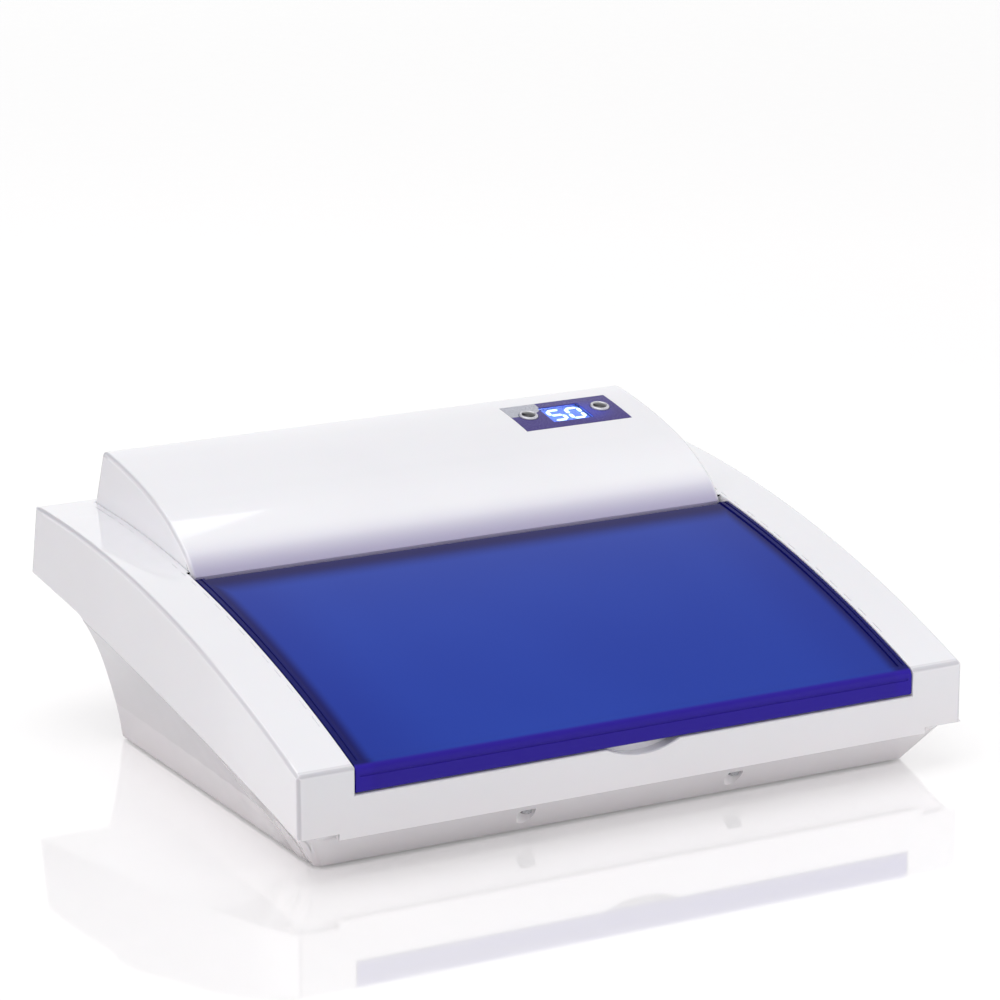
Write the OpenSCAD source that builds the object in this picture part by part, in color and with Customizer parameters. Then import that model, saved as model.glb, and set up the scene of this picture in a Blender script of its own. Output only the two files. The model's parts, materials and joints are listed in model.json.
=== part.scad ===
// Desktop ultraviolet sterilizer cabinet: a white moulded case with a tapered base, a hinged
// blue lid over the chamber, and a domed hood that covers the lamp and the timer.
// Distances called "from the front" are measured back from the fascia's front face.

/* [Case] */
// Overall width of the case
case_w = 390; // [370:5:430]
// Overall depth, from the fascia to the foot of the rear face
case_d = 330; // [320:2:350]
// Height of the shoulders at the front edge
front_h = 57.3; // [54:0.5:62]
// Height of the shoulders at their highest line
shoulder_h = 116.7; // [112:0.5:122]
// Distance of that highest line from the rear
crown_setback = 10; // [6:1:16]
// Height of the foot of the rear face
tail_h = 77.9; // [74:0.5:82]
// How far the rear face leans forward over its height
rear_lean = 8.4; // [4:0.2:10]
// Thickness of the moulded walls
wall = 2.6; // [2:0.1:3]
// Lower edge of the middle of the fascia
fascia_h = 21; // [19:0.5:23]
// Width of the middle of the fascia
fascia_w = 346; // [340:1:352]
// Height of the crease between upper and lower case at the front
crease_front = 24.2; // [23.5:0.1:28]
// Rise of the crease above a straight line at its middle
crease_bulge = 2.3; // [0:0.1:4]

/* [Base] */
// Width of the base at the floor
base_w = 349.2; // [340:1:356]
// Setback of the base's front wall at the floor
base_front = 22.5; // [18:0.5:26]
// Setback of the base's front wall under the fascia
base_brow = 5; // [4:0.5:8]
// Overhang of the case behind the base's waist
rear_overhang = 83; // [78:1:90]
// Height of the base's waist at the rear
waist_h = 47; // [44:0.5:50]
// Radius of the flare of the rear wall below the waist
flare_r = 110; // [90:5:160]
// Radius of the cove between the rear wall and the overhang
cove_r = 24; // [20:0.5:27]
// Corner radius of the base at the floor
base_corner_r = 8; // [4:0.5:12]
// Height of the feet under the base
foot_h = 1.2; // [1:0.1:2]
// Diameter of the feet
foot_d = 16; // [12:0.5:20]
// Sideways distance of the screw pockets from the middle
pocket_x = 61.5; // [50:0.5:80]
// Diameter of the screw pockets
pocket_d = 10; // [9:0.5:12]
// Height of the ceiling of the screw pockets
pocket_h = 15.5; // [13:0.5:17]

/* [Hood] */
// Width of the hood
hood_w = 324.6; // [316:0.2:326]
// Overall height at the hood's rear top edge
hood_h = 148; // [144:0.5:152]
// Distance of the hood's rear top edge from the rear of the case
hood_setback = 27; // [25:0.5:30]
// Radii of the hood's roof, brow and lip
roof_r = 368; // [350:1:390]
// Radius of the hood's brow
brow_r = 122; // [115:1:130]
// Radius of the hood's lip
lip_r = 34; // [30:0.5:38]
// Wall thickness of the hood
hood_wall = 2.4; // [2:0.1:3]
// Depth of the seat that the hood sinks into
hood_seat = 1.2; // [0.8:0.1:1.6]

/* [Lid] */
// Width of the lid
lid_w = 326.4; // [326:0.2:332]
// Thickness of the lid's panel
lid_t = 3; // [2.5:0.1:3.5]
// Height of the raised border above the panel
border_h = 0.8; // [0.5:0.1:1]
// Width of the raised border
border_w = 5; // [4:0.5:8]
// Radius of the lid's front edge
lid_edge_r = 5; // [4:0.5:6]
// Lower edge of the lid's front flange
flange_h = 44; // [42:0.5:46]
// Clearance between lid and case
lid_gap = 0.6; // [0.4:0.1:1]
// Radius of the hinge knuckles
knuckle_r = 4.8; // [4.4:0.1:5]
// Distance of the hinge axis in front of the hood's lip
hinge_setback = 6.8; // [6.6:0.1:7.5]
// Diameter of the hinge pins
pin_d = 4; // [3:0.1:4.4]
// Radial running clearance of the hinge pins
pin_play = 0.06; // [0.04:0.01:0.1]
// Width of the finger notch under the flange
notch_w = 45.2; // [40:0.5:60]
// Depth of the finger notch below the flange
notch_h = 5.6; // [4:0.2:7]
// How far the finger notch goes back from the fascia
notch_d = 7; // [5:0.5:8]

/* [Chamber] */
// Width inside the chamber tub
tub_w = 308; // [300:2:310]
// Thickness of the tub's walls
tub_t = 2; // [1.5:0.1:2.5]
// Height of the tub's floor
tub_floor = 12; // [10:0.5:16]
// Setback of the tub's front wall
tub_front = 20; // [19:0.5:24]
// Height of the tray's rim above its floor
tray_h = 14; // [10:1:20]
// Thickness of the tray's sheet
tray_t = 0.8; // [0.6:0.1:1.2]
// Clearance between the tray and the tub
tray_gap = 3; // [2:0.5:5]

/* [Lamp] */
// Diameter of the lamp tube
lamp_d = 16; // [14:0.5:17]
// Clearance between the lamp's sockets and the hood's walls
lamp_margin = 6.9; // [5:0.1:12]
// Distance of the lamp behind the hood's lip
lamp_back = 24; // [22:0.5:26]
// Depth of the lamp's axis below the hood's surface
lamp_depth = 17.6; // [17:0.1:19]

/* [Controls] */
// Sideways place of the panel's middle
panel_x = 110.5; // [100:0.5:118]
// Distance of the panel's middle from the rear
panel_setback = 56.1; // [54:0.5:60]
// Width of the panel overlay
panel_w = 68; // [64:0.5:72]
// Depth of the panel overlay
panel_d = 32.6; // [30:0.5:34]
// Thickness of the panel overlay
panel_t = 0.5; // [0.3:0.1:0.8]
// Width of the display window
window_w = 26; // [22:0.5:28]
// Depth of the display window
window_d = 20; // [16:0.5:22]
// Distance between the two buttons
button_span = 46.6; // [44:0.5:50]
// Diameter of the buttons
button_d = 11; // [9:0.5:12]
// Travel of the buttons
button_travel = 0.8; // [0.5:0.1:1]

/* [Hidden] */

$fn = 48;
case_half = case_w / 2;
crown_y = case_d - crown_setback;
shell_r = (pow(crown_y, 2) + pow(shoulder_h - front_h, 2)) / (2 * (shoulder_h - front_h));
rear_top = case_d - rear_lean;
step = 14;

// Height of the shoulders' outer curve at a distance from the front
function shell_z(y) = shoulder_h - shell_r + sqrt(pow(shell_r, 2) - pow(crown_y - y, 2));

// Points along that curve between two distances, lowered by a drop
function shell_line(from, to, drop = 0) =
    let (n = ceil(abs(to - from) / step))
    [for (i = [0 : n]) let (y = from + (to - from) * i / n) [y, shell_z(y) - drop]];

// Rear wall, cove and overhang of the lower case
waist_y = case_d - rear_overhang;
cove_y = waist_y + cove_r;
cove_split = 117;
shelf_start = 145;
tail_angle = 6.6;
split_y = cove_y + cove_r * cos(cove_split);
split_z = waist_h + cove_r * sin(cove_split);

// Height of the crease between the two cases
function crease_z(y) =
    let (t = y / split_y)
    crease_front + (split_z - crease_front) * t + 4 * crease_bulge * t * (1 - t);

crease_steps = ceil(split_y / step);
crease = [for (i = [0 : crease_steps]) let (y = split_y * i / crease_steps) [y, crease_z(y)]];

// The part of the crease behind the base's brow, with a point on its first stretch
crease_behind_brow = concat(
    [[base_brow, crease[0][1] + (crease[1][1] - crease[0][1]) * base_brow / crease[1][0]]],
    [for (p = crease) if (p[0] > base_brow) p]);

// Points of the cove, from one angle to another, at a distance inside its surface
function cove_line(from, to, inset = 0) =
    let (n = 10)
    [for (i = [0 : n]) let (a = from + (to - from) * i / n)
        [cove_y + (cove_r + inset) * cos(a), waist_h + (cove_r + inset) * sin(a)]];

// Points of the flared rear wall from the waist down to the floor of the base
function flare_line(inset = 0) =
    let (n = 6, low = foot_h + inset)
    [for (i = [0 : n]) let (z = waist_h + (low - waist_h) * i / n)
        [waist_y - inset + pow(waist_h - z, 2) / (2 * flare_r), z]];

// Setback of the base's front wall at a height
function brow_y(z) = base_front + (base_brow - base_front) * z / fascia_h;

// Hood: three tangent arcs, given by the slope of the surface
hood_y = case_d - hood_setback;
roof_start = 6;
roof_end = 16.5;
brow_end = 36;
lip_end = 62;
roof_centre = [hood_y + roof_r * sin(roof_start), hood_h - roof_r * cos(roof_start)];
brow_centre = roof_centre + (roof_r - brow_r) * [-sin(roof_end), cos(roof_end)];
lip_centre = brow_centre + (brow_r - lip_r) * [-sin(brow_end), cos(brow_end)];
function arc_point(centre, r, a) = centre + r * [-sin(a), cos(a)];
function arc_line(centre, r, from, to, n) =
    [for (i = [0 : n]) arc_point(centre, r, from + (to - from) * i / n)];
function hood_line(inset = 0) = concat(
    arc_line(roof_centre, roof_r - inset, roof_start, roof_end, 8),
    arc_line(brow_centre, brow_r - inset, roof_end, brow_end, 8),
    arc_line(lip_centre, lip_r - inset, brow_end, lip_end, 6));
function roof_z(y) = roof_centre[1] + sqrt(pow(roof_r, 2) - pow(roof_centre[0] - y, 2));
lip_point = arc_point(lip_centre, lip_r, lip_end);
lip_y = lip_point[0];
hood_half = hood_w / 2;
hood_foot = hood_y + 12.7;

// Hinge
shell_slope = asin((crown_y - (lip_y - hinge_setback)) / shell_r);
hinge_y = lip_y - hinge_setback;
hinge_z = shell_z(hinge_y) - knuckle_r / cos(shell_slope);
lid_half = lid_w / 2;
well_half = lid_half + lid_gap;
hood_front = lip_y + hood_wall * 1.1;
well_end = hood_front + 0.4;
lid_drop = lid_t + border_h;
ledge_drop = lid_drop + 0.5;
ledge_t = 2.2;
ledge_w = 6;
flange_t = 3;
knuckle_w = 14;
groove_h = 0.5;
// Tangent of the lid's front rounding to the shoulders' curve
edge_slope = 20;
lid_edge_y = lid_edge_r * (1 - sin(edge_slope));
lid_edge_z = shell_z(lid_edge_y) - lid_edge_r * cos(edge_slope);
magnet_x = 136;

// Chamber
tub_half = tub_w / 2;
tub_rear = waist_y - wall - 4;
tub_rim_drop = ledge_drop + ledge_t;

// Lamp
lamp_y = lip_y + lamp_back;
lamp_z = brow_centre[1] + sqrt(pow(brow_r, 2) - pow(brow_centre[0] - lamp_y, 2)) - lamp_depth;
socket_t = 9;
lamp_l = hood_w - 2 * (hood_wall + lamp_margin + socket_t);

// Panel, seen in its own frame: the skin at the middle of the panel is its zero height
panel_y = case_d - panel_setback;
panel_angle = asin((roof_centre[0] - panel_y) / roof_r);
panel_z = arc_point(roof_centre, roof_r, panel_angle)[1];
board_drop = 10.5;
board_t = 1.6;

// Puts a piece drawn from the front into the case's own frame
module from_front() {
    translate([0, -case_d / 2, 0]) children();
}

// Extrudes a side view, drawn as distance from the front and height, between two sideways places
module across(left, right) {
    translate([left, 0, 0])
        rotate([90, 0, 90])
            linear_extrude(right - left) children();
}

module both_sides() {
    children();
    mirror([1, 0, 0]) children();
}

module on_panel(x = 0, y = 0) {
    translate([panel_x, panel_y, panel_z])
        rotate([panel_angle, 0, 0])
            translate([x, y, 0]) children();
}

module upper_outline() {
    polygon(concat(
        crease,
        cove_line(cove_split, 90 + tail_angle),
        [[case_d, tail_h]],
        shell_line(rear_top, 0)));
}

module upper_hollow_outline() {
    polygon(concat(
        [[wall, -5], [case_d - wall, -5], [case_d - wall, tail_h]],
        shell_line(rear_top - wall, wall, wall)));
}

// Material that carries the lid: a rim round the well, its ledge and the shelf over the fascia
module well_frame() {
    shelf = flange_h - lid_gap;
    difference() {
        across(-well_half - wall, well_half + wall)
            polygon(concat(
                [[0, shelf - wall], [flange_t + lid_gap + wall, shelf - wall]],
                shell_line(flange_t + lid_gap + wall, well_end + wall, tub_rim_drop),
                shell_line(well_end + wall, 0)));
        across(-tub_half, tub_half)
            polygon([[tub_front, 0], [tub_rear, 0], [tub_rear, 300], [tub_front, 300]]);
    }
}

module well_cut() {
    shelf = flange_h - lid_gap;
    riser = flange_t + lid_gap;
    across(-well_half, well_half)
        polygon(concat(
            [[-1, 300], [-1, shelf], [riser, shelf]],
            shell_line(riser, well_end, ledge_drop),
            [[well_end, 300]]));
}

// The hood's lower rim and the seat that it stands in share this line
seat_line = shell_line(hood_front, hood_foot + 0.3, hood_seat);

module hood_seat_cut() {
    across(-hood_half - 0.3, hood_half + 0.3)
        polygon(concat(seat_line, [[hood_foot + 0.3, 300], [hood_front, 300]]));
}

module deck() {
    across(-well_half - wall, well_half + wall)
        polygon(concat(
            shell_line(well_end, rear_top - wall),
            shell_line(rear_top - wall, well_end, hood_seat + wall)));
}

// Puts a piece on a curve that lies a drop below the shoulders: its up is square to the slope
module on_slope(x, y, drop) {
    translate([x, y, shell_z(y) - drop])
        rotate([asin((crown_y - y) / shell_r), 0, 0]) children();
}

bumper_r = 2;

module bumper_places() {
    both_sides()
        for (y = [18, hinge_y - 30])
            on_slope(well_half - 3.4, y, ledge_drop) children();
}

module tub_screw_places() {
    both_sides()
        for (y = [60, 130])
            on_slope(tub_half + 5, y, tub_rim_drop) children();
}

// Hood screws: the place of their heads' seat in the deck
hood_screw_y = lip_y + 54;
hood_screw_z = shell_z(hood_screw_y) - hood_seat - wall + 0.3;

module hood_screw_places() {
    both_sides() translate([hood_half - 14, hood_screw_y, hood_screw_z]) children();
}

module hinge_line(left, right, r) {
    translate([left, hinge_y, hinge_z])
        rotate([0, 90, 0])
            cylinder(h = right - left, r = r);
}

// A scoop whose front view is a segment of a circle, between two distances from the front
module finger_notch(r_extra, from, to) {
    r = (pow(notch_w / 2, 2) + pow(notch_h, 2)) / (2 * notch_h);
    intersection() {
        translate([0, from, flange_h - notch_h + r])
            rotate([-90, 0, 0])
                cylinder(h = to - from, r = r + r_extra, $fn = 180);
        translate([-notch_w, from, 0])
            cube([2 * notch_w, to - from, flange_h - lid_gap]);
    }
}

screw_post_y = base_brow + 7.5;
post_top = shell_z(screw_post_y) - ledge_drop - 1;

module upper_case() {
    color("white") from_front() {
        difference() {
            union() {
                difference() {
                    across(-case_half, case_half) upper_outline();
                    across(-case_half + wall, case_half - wall) upper_hollow_outline();
                }
                translate([-fascia_w / 2, 0, fascia_h])
                    cube([fascia_w, wall, flange_h - lid_gap - fascia_h]);
                well_frame();
                deck();
                finger_notch(wall, 0, notch_d + wall);
                intersection() {
                    both_sides() hinge_line(well_half, well_half + 8, knuckle_r + 0.6);
                    across(-case_half, case_half) upper_outline();
                }
                both_sides() {
                    translate([pocket_x, screw_post_y, fascia_h + 5])
                        cylinder(h = post_top - fascia_h - 5, r = 4.5);
                    translate([case_half - 45, case_d - 30, tail_h])
                        cylinder(h = shoulder_h - tail_h - wall - 1, r = 4.5);
                }
            }
            well_cut();
            hood_seat_cut();
            finger_notch(0, -1, notch_d);
            // Room for the knuckles, for the lid's rear edge between them and for the hood's lip
            hinge_line(-well_half, well_half, knuckle_r + 1);
            translate([-well_half, hinge_y, hinge_z - 1])
                cube([2 * well_half, well_end - hinge_y, 50]);
            both_sides() {
                hinge_line(well_half - 1, well_half + 6, pin_d / 2 + pin_play);
                translate([pocket_x, screw_post_y, fascia_h])
                    cylinder(h = 18, r = 1.5);
                translate([case_half - 45, case_d - 30, tail_h - 1])
                    cylinder(h = 20, r = 1.5);
            }
            // Openings in the deck for the lamp and for the controls
            translate([-tub_half + 1, lip_y + 8, 60])
                cube([tub_w - 2, tub_rear - lip_y - 9, 90]);
            translate([panel_x - 42, panel_y - 22, 90])
                cube([84, 44, 60]);
            inlet_hole();
            bumper_places() translate([0, 0, -0.6]) cylinder(h = 3, r = bumper_r);
            tub_screw_places() translate([0, 0, -1]) cylinder(h = 2.7, r = 1.2);
            hood_screw_places() {
                translate([0, 0, -4]) cylinder(h = 4, r = 3.3);
                cylinder(h = 5, r = 1.7);
            }
        }
    }
}

rear_face_angle = atan(rear_lean / (shell_z(rear_top) - tail_h));
inlet_x = 120;
inlet_w = 27;
inlet_h = 20;
inlet_l = 16;

// Puts a piece on the rear face: its zero depth is the face, and its up follows the face
module on_rear_face(x) {
    translate([x, case_d - rear_lean / 2, (shell_z(rear_top) + tail_h) / 2])
        rotate([rear_face_angle, 0, 0]) children();
}

module inlet_hole() {
    on_rear_face(inlet_x)
        translate([-inlet_w / 2, -10, -inlet_h / 2])
            cube([inlet_w, 20, inlet_h]);
}

// Everything outside the slanted side panels, which run from the crease in to the floor
module side_wedge(inset) {
    reach = 5;
    far = case_half + 30;
    base_half = base_w / 2;
    n = 12;
    ys = [for (i = [0 : n]) -2 + (split_y + 8) * i / n];
    rings = [for (y = ys)
        let (zc = crease_z(y), k = (case_half - base_half) / zc)
        [[base_half - k * reach - inset, y, -reach],
            [far, y, -reach],
            [far, y, zc + reach],
            [case_half + k * reach - inset, y, zc + reach]]];
    points = [for (r = rings) for (p = r) p];
    sides = [for (i = [0 : n - 1]) for (j = [0 : 3])
        let (a = 4 * i + j, b = 4 * i + (j + 1) % 4)
        each [[a, b, a + 4], [b, b + 4, a + 4]]];
    ends = [[0, 2, 1], [0, 3, 2], [4 * n, 4 * n + 1, 4 * n + 2], [4 * n, 4 * n + 2, 4 * n + 3]];
    polyhedron(points, concat(sides, ends), convexity = 4);
}

module lower_outline() {
    polygon(concat(
        [[brow_y(foot_h), foot_h], [base_brow, fascia_h]],
        crease_behind_brow,
        cove_line(cove_split, 180),
        flare_line()));
}

module lower_hollow_outline() {
    polygon(concat(
        [[brow_y(foot_h + wall) + wall, foot_h + wall], [base_brow + wall, fascia_h],
            [base_brow + wall, 150], [case_d, 150], [case_d, tail_h + wall]],
        cove_line(90 + tail_angle, 180, wall),
        flare_line(wall)));
}

module shelf_outline() {
    inner = cove_line(90 + tail_angle, shelf_start, wall);
    polygon(concat(
        cove_line(shelf_start, 90 + tail_angle),
        [[shelf_high[0], shelf_high[1] - wall], shelf_high],
        inner));
}

// The base's plan with rounded front corners, growing upward
module rounded_block() {
    top = 30;
    rise = top / crease_front;
    top_half = base_w / 2 + (case_half - base_w / 2) * rise;
    top_front = brow_y(top);
    hull() {
        both_sides() {
            translate([base_w / 2 - base_corner_r, base_front + base_corner_r, -1])
                cylinder(h = 1, r = base_corner_r, $fn = 32);
            translate([top_half - 2.5 * base_corner_r, top_front + 2.5 * base_corner_r, top])
                cylinder(h = 1, r = 2.5 * base_corner_r, $fn = 32);
        }
        translate([-base_w / 2 - 6, case_d, -1]) cube([base_w + 12, 1, 1]);
        translate([-top_half - 6, case_d, top]) cube([2 * top_half + 12, 1, 1]);
    }
    translate([-case_w, -10, top]) cube([2 * case_w, case_d + 20, 100]);
}

module lower_case() {
    color("white") from_front() {
        difference() {
            union() {
                difference() {
                    intersection() {
                        across(-case_half - 20, case_half + 20) lower_outline();
                        rounded_block();
                    }
                    both_sides() side_wedge(0);
                    difference() {
                        across(-case_half, case_half) lower_hollow_outline();
                        both_sides() side_wedge(wall);
                    }
                }
                across(-case_half + wall + 0.3, case_half - wall - 0.3) shelf_outline();
                // Posts round the screw pockets, held inside the slanted front wall
                intersection() {
                    both_sides()
                        translate([pocket_x, screw_post_y, 0])
                            cylinder(h = fascia_h + 5, r = pocket_d / 2 + 1.5);
                    across(-case_half, case_half)
                        polygon([[brow_y(foot_h) + wall / 2, foot_h + wall / 2],
                            [base_brow + wall / 2, fascia_h], [base_brow + wall / 2, 60],
                            [60, 60], [60, foot_h + wall / 2]]);
                }
            }
            // Screw pockets that open in the slanted front wall
            both_sides() {
                translate([pocket_x, screw_post_y, -1])
                    cylinder(h = pocket_h + 1, r = pocket_d / 2);
                translate([pocket_x, screw_post_y, 0])
                    cylinder(h = 60, r = 1.7);
                translate([case_half - 45, case_d - 30, 0])
                    cylinder(h = 100, r = 1.7);
            }
            // Cooling slots in the overhang's floor
            for (i = [0 : 7])
                translate([-60 + i * 8, waist_y + 36, 60]) cube([3, 34, 30]);
        }
    }
}

module hood_outline(inset) {
    foot = [hood_foot - inset * 1.06, shell_z(hood_foot)];
    polygon(concat(
        [[hood_foot - inset * 1.06, shell_z(hood_foot) - 20]],
        [foot],
        [[hood_y + 1.4 - inset * 0.9, hood_h - inset * 1.1]],
        hood_line(inset),
        [[lip_y + inset * 1.1, lip_point[1] - 20]]));
}

module hood_cover() {
    color("white") from_front() {
        difference() {
            across(-hood_half, hood_half) hood_outline(0);
            across(-hood_half + hood_wall, hood_half - hood_wall) hood_outline(hood_wall);
            // The lower rim follows the seat in the upper case, and the lip hangs in the well
            across(-case_half, case_half)
                polygon(concat(
                    [[lip_y - 5, 0], [lip_y - 5, hinge_z + 0.6], [hood_front, hinge_z + 0.6]],
                    seat_line,
                    [[hood_foot + 0.3, 0]]));
            panel_band(panel_w + 0.4, panel_d + 0.4, 1, panel_t + 0.03);
            on_panel() {
                translate([-window_w / 2 - 1, -window_d / 2 - 1, -10])
                    cube([window_w + 2, window_d + 2, 20]);
            }
            for (s = [-1, 1])
                on_panel(s * button_span / 2, 1.5)
                    translate([0, 0, -10]) cylinder(h = 20, r = button_d / 2 + 0.4);
        }
        both_sides() translate([hood_half - 14, hood_screw_y, 0]) hood_post();
        board_screw_places() {
            difference() {
                translate([0, 0, board_t]) cylinder(h = board_drop - hood_wall + 0.6, r = 3);
                cylinder(h = 7, r = 1.2);
            }
        }
    }
}

// A screw post that hangs from the hood's roof and stands on the deck
module hood_post() {
    low = shell_z(hood_screw_y) - hood_seat + 0.35;
    difference() {
        translate([0, 0, low])
            cylinder(h = roof_z(hood_screw_y) - hood_wall + 0.6 - low, r = 4);
        translate([0, 0, low - 1]) cylinder(h = 12, r = 1.5);
    }
}

// A piece of the roof's skin over the panel: width, depth, height above the skin and below it
module panel_band(w, d, above, below) {
    a0 = asin((roof_centre[0] - panel_y - d / 2) / roof_r);
    a1 = asin((roof_centre[0] - panel_y + d / 2) / roof_r);
    across(panel_x - w / 2, panel_x + w / 2)
        polygon(concat(
            arc_line(roof_centre, roof_r + above, a0, a1, 6),
            arc_line(roof_centre, roof_r - below, a1, a0, 6)));
}

// Side view of the lid: curved panel, rounded front edge, and the flange in front of the fascia
module lid_outline() {
    polygon(concat(
        shell_line(hinge_y, lid_edge_y),
        [for (a = [110 : 10 : 180])
            [lid_edge_r + lid_edge_r * cos(a), lid_edge_z + lid_edge_r * sin(a)]],
        [[0, flange_h + 1], [1, flange_h], [flange_t, flange_h]],
        shell_line(flange_t, hinge_y, lid_drop)));
}

// The panel lies lower than the border along its sides and front, up to the round rear edge
module lid_recess() {
    across(-lid_half + border_w, lid_half - border_w)
        polygon(concat(
            shell_line(border_w, hinge_y, border_h),
            [for (a = [80 : -10 : 0])
                [hinge_y, hinge_z] + (knuckle_r - border_h) * [cos(a), sin(a)]],
            [[hinge_y + 20, hinge_z], [hinge_y + 20, 300], [border_w, 300]]));
}

// A fine groove that splits the border into two ridges, and one along the flange
module border_grooves() {
    both_sides()
        across(lid_half - border_w * 0.62, lid_half - border_w * 0.38)
            polygon(concat(
                shell_line(border_w, hinge_y, groove_h),
                [[hinge_y, 300], [border_w, 300]]));
    across(-lid_half + border_w / 2, lid_half - border_w / 2)
        translate([-1, lid_edge_z - 1.6]) square([1 + groove_h, 1]);
}

// A socket under the panel that holds the magnet
module magnet_socket(r, low, high) {
    y = hinge_y - 12;
    z = shell_z(y) - lid_drop;
    translate([magnet_x, y, z + low]) cylinder(h = high - low, r = r);
}

module lid() {
    color([0.2, 0.22, 0.75]) from_front() {
        difference() {
            union() {
                across(-lid_half, lid_half) {
                    lid_outline();
                    intersection() {
                        translate([hinge_y, hinge_z]) circle(r = knuckle_r);
                        translate([hinge_y - 3, hinge_z + knuckle_r - lid_drop])
                            square([3 + knuckle_r, knuckle_r]);
                    }
                }
                both_sides() hinge_line(lid_half - knuckle_w, lid_half, knuckle_r);
                magnet_socket(5, -3, 1);
            }
            lid_recess();
            border_grooves();
            both_sides() hinge_line(lid_half - 11, lid_half + 1, pin_d / 2);
            magnet_socket(3.5, -4, -1);
        }
    }
}

module hinge_pins() {
    color("silver") from_front()
        both_sides() hinge_line(lid_half - 11, well_half + 5.5, pin_d / 2);
}

tub_flange_t = 1.6;

module chamber_tub() {
    color("whitesmoke") from_front()
        difference() {
            union() {
                across(-tub_half - tub_t, tub_half + tub_t)
                    polygon(concat(
                        [[tub_front, tub_floor - tub_t]],
                        shell_line(tub_front, tub_rear, tub_rim_drop + 0.05),
                        [[tub_rear, tub_floor - tub_t]]));
                // Flanges that hang under the case's ledges
                across(-tub_half - 8.5, tub_half + 8.5)
                    polygon(concat(
                        shell_line(tub_front + 10, hinge_y - 20, tub_rim_drop + 0.05),
                        shell_line(hinge_y - 20, tub_front + 10, tub_rim_drop + tub_flange_t)));
            }
            tub_screw_places() translate([0, 0, -4]) cylinder(h = 8, r = 1.4);
            both_sides() lead(lamp_lead_path[0], lamp_lead_path[1], 1.8);
            across(-tub_half, tub_half)
                polygon([[tub_front + tub_t, tub_floor],
                    [tub_front + tub_t, 200], [tub_rear - tub_t, 200],
                    [tub_rear - tub_t, tub_floor]]);
            hinge_line(-tub_half - 3, tub_half + 3, knuckle_r + 1);
        }
}

tray_w = tub_w - 2 * tray_gap;
tray_front = tub_front + tub_t + tray_gap;
tray_rear = hinge_y - 8;
hole_pitch = 15;
hole_d = 7;

module tool_tray() {
    d = tray_rear - tray_front;
    columns = floor((tray_w - 20) / hole_pitch);
    rows = floor((d - 20) / hole_pitch);
    color("silver") from_front()
        translate([0, (tray_front + tray_rear) / 2, tub_floor])
            difference() {
                translate([-tray_w / 2, -d / 2, 0]) cube([tray_w, d, tray_h]);
                translate([-tray_w / 2 + tray_t, -d / 2 + tray_t, tray_t])
                    cube([tray_w - 2 * tray_t, d - 2 * tray_t, tray_h]);
                // Holes that the tray is lifted out by
                translate([-tray_w, 0, tray_h * 0.55])
                    rotate([0, 90, 0]) cylinder(h = 2 * tray_w, r = tray_h * 0.28);
                for (i = [0 : columns - 1], j = [0 : rows - 1])
                    translate([(i - (columns - 1) / 2) * hole_pitch,
                            (j - (rows - 1) / 2) * hole_pitch, -1])
                        cylinder(h = 3, r = hole_d / 2, $fn = 16);
            }
}

module lamp_line(left, right, r) {
    translate([left, lamp_y, lamp_z])
        rotate([0, 90, 0]) cylinder(h = right - left, r = r);
}

cap_l = 11;

module lamp_tube() {
    color("lavender") from_front()
        lamp_line(-lamp_l / 2 + cap_l, lamp_l / 2 - cap_l, lamp_d / 2 - 0.4);
}

module lamp_caps() {
    color("silver") from_front()
        both_sides() {
            lamp_line(lamp_l / 2 - cap_l, lamp_l / 2, lamp_d / 2);
            for (s = [-1, 1])
                translate([0, 0, s * 2.5])
                    lamp_line(lamp_l / 2, lamp_l / 2 + 6, 1.2);
        }
}

module lamp_socket() {
    x = lamp_l / 2;
    base = shell_z(lamp_y) - hood_seat;
    difference() {
        union() {
            lamp_line(x + 0.2, x + socket_t, lamp_d / 2 + 1);
            translate([x + 0.2, lamp_y - lamp_d / 2 - 1, lamp_z - lamp_d / 2 - 1])
                cube([socket_t - 0.2, lamp_d + 2, lamp_d / 2]);
        }
        for (s = [-1, 1])
            translate([0, 0, s * 2.5]) lamp_line(x - 1, x + 6.5, 1.25);
    }
}

module lamp_socket_left() {
    color("white") from_front() mirror([1, 0, 0]) lamp_socket();
}

module lamp_socket_right() {
    color("white") from_front() lamp_socket();
}

// A folded sheet over the lamp, between its sockets
module lamp_reflector() {
    t = 0.8;
    r = lamp_d / 2 + 3;
    // The rear plate stands on the deck behind the lamp's opening
    plate_drop = hood_seat - 0.05;
    color("silver") from_front()
        across(-lamp_l / 2, lamp_l / 2) {
            difference() {
                translate([lamp_y, lamp_z]) circle(r = r + t);
                translate([lamp_y, lamp_z]) circle(r = r);
                translate([lamp_y - 50, lamp_z - 50]) square([100, 50]);
            }
            plate_y = lamp_y + r;
            leg_end = shell_z(plate_y) - plate_drop;
            translate([plate_y, min(lamp_z, leg_end)])
                square([t, abs(leg_end - lamp_z) + t]);
            polygon(concat(
                shell_line(plate_y, tub_rear + 5, plate_drop),
                shell_line(tub_rear + 5, plate_y, plate_drop - t)));
        }
}

// The overhang's floor inside the case, which carries the ballast
shelf_low = cove_line(90 + tail_angle, shelf_start, wall)[0];
shelf_high = [case_d - wall - rear_lean * wall / (shoulder_h - tail_h) - 0.4, tail_h - 0.1 + wall];
shelf_slope = (shelf_high[1] - shelf_low[1]) / (shelf_high[0] - shelf_low[0]);
function shelf_top(y) = shelf_low[1] + shelf_slope * (y - shelf_low[0]);

ballast_y = waist_y + 34;
ballast_left = -90;
ballast_right = 20;
ballast_d = 32;
ballast_h = 22;
lug_h = 2.5;
lug_w = 8;
lug_inset = 4;

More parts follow.
